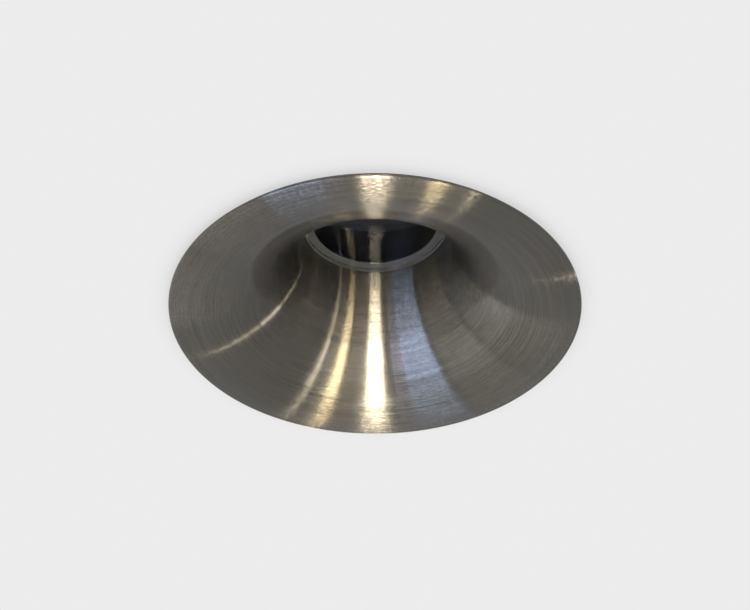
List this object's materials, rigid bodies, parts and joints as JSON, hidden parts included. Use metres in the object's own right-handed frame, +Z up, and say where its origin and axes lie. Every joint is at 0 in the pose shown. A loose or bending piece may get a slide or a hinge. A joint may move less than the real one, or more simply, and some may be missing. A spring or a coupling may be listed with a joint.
{
  "type": "recessed soffit downlight",
  "caption": "Round recessed downlight with a deep brushed-steel trumpet flare, flush glass, finned body and sprung clips that hold it in a soffit.",
  "frame": {"origin": "centre of the seat plane, where the gasket meets the underside of the soffit, on the axis of the spigot that registers in the cut-out", "axes": "+Z up into the soffit along the lamp's axis, the light shines toward -Z; clip 1 points to +Y"},
  "size_m": [0.155, 0.155, 0.139],
  "materials": {
    "flare_steel": "concentrically brushed marine stainless steel with a satin sheen",
    "glass": "clear flat toughened glass",
    "silicone_black": "matte black silicone",
    "silicone_grey": "matte grey silicone",
    "reflector_metal": "vacuum-aluminised faceted plastic, smoky grey",
    "cast_aluminium": "die-cast aluminium, fine bead-blasted",
    "black_anodised": "black anodised aluminium, satin",
    "screw_steel": "bright stainless screws",
    "spring_steel": "plain stainless spring strip and wire",
    "board_white": "white ceramic board",
    "phosphor_yellow": "yellow silicone phosphor",
    "holder_plastic": "white heat-resistant plastic",
    "pad_grey": "grey heat-conducting pad",
    "lead_red": "red wire insulation",
    "lead_black": "black wire insulation",
    "terminal_plastic": "green-grey terminal plastic",
    "gland_plastic": "black nylon"
  },
  "bodies": {
    "fixture": {"flare_bezel": "flare_steel", "soffit_gasket": "silicone_black", "lens_glass": "glass", "lens_seal": "silicone_grey", "neck_gasket": "silicone_black", "reflector": "reflector_metal", "mounting_collar": "cast_aluminium", "collar_screws": "screw_steel", "lamp_housing": "cast_aluminium", "housing_seal": "silicone_black", "heat_sink": "black_anodised", "heat_sink_screws": "screw_steel", "thermal_pad": "pad_grey", "led_board": "board_white", "led_phosphor": "phosphor_yellow", "led_holder": "holder_plastic", "led_holder_screws": "screw_steel", "led_lead_positive": "lead_red", "led_lead_negative": "lead_black", "terminal_block": "terminal_plastic", "terminal_screws": "screw_steel", "rear_cover": "black_anodised", "rear_cover_seal": "silicone_black", "rear_cover_screws": "screw_steel", "gland_washer": "silicone_black", "gland_locknut": "gland_plastic", "gland_body": "gland_plastic", "gland_seal": "silicone_grey", "gland_nut": "gland_plastic", "clip_screws": "screw_steel", "clip_bracket_1": "spring_steel", "clip_pin_1": "screw_steel", "clip_spring_1": "spring_steel", "clip_bracket_2": "spring_steel", "clip_pin_2": "screw_steel", "clip_spring_2": "spring_steel", "clip_bracket_3": "spring_steel", "clip_pin_3": "screw_steel", "clip_spring_3": "spring_steel"},
    "arm_1": {"clip_arm_1": "spring_steel", "clip_tip_1": "silicone_black"},
    "arm_2": {"clip_arm_2": "spring_steel", "clip_tip_2": "silicone_black"},
    "arm_3": {"clip_arm_3": "spring_steel", "clip_tip_3": "silicone_black"}
  },
  "joints": [
    {"name": "clip_1_swing", "type": "hinge", "parent": "fixture", "child": "arm_1", "pos_m": [0, 0.049, 0.038], "axis": [1, 0, 0], "range_deg": [0, 134], "stiffness_Nm_per_rad": 0.06, "deforming": ["clip_spring_1"]},
    {"name": "clip_2_swing", "type": "hinge", "parent": "fixture", "child": "arm_2", "pos_m": [-0.04244, -0.0245, 0.038], "axis": [-0.5, 0.866, 0], "range_deg": [0, 134], "stiffness_Nm_per_rad": 0.06, "deforming": ["clip_spring_2"]},
    {"name": "clip_3_swing", "type": "hinge", "parent": "fixture", "child": "arm_3", "pos_m": [0.04244, -0.0245, 0.038], "axis": [-0.5, -0.866, 0], "range_deg": [0, 134], "stiffness_Nm_per_rad": 0.06, "deforming": ["clip_spring_3"]}
  ]
}
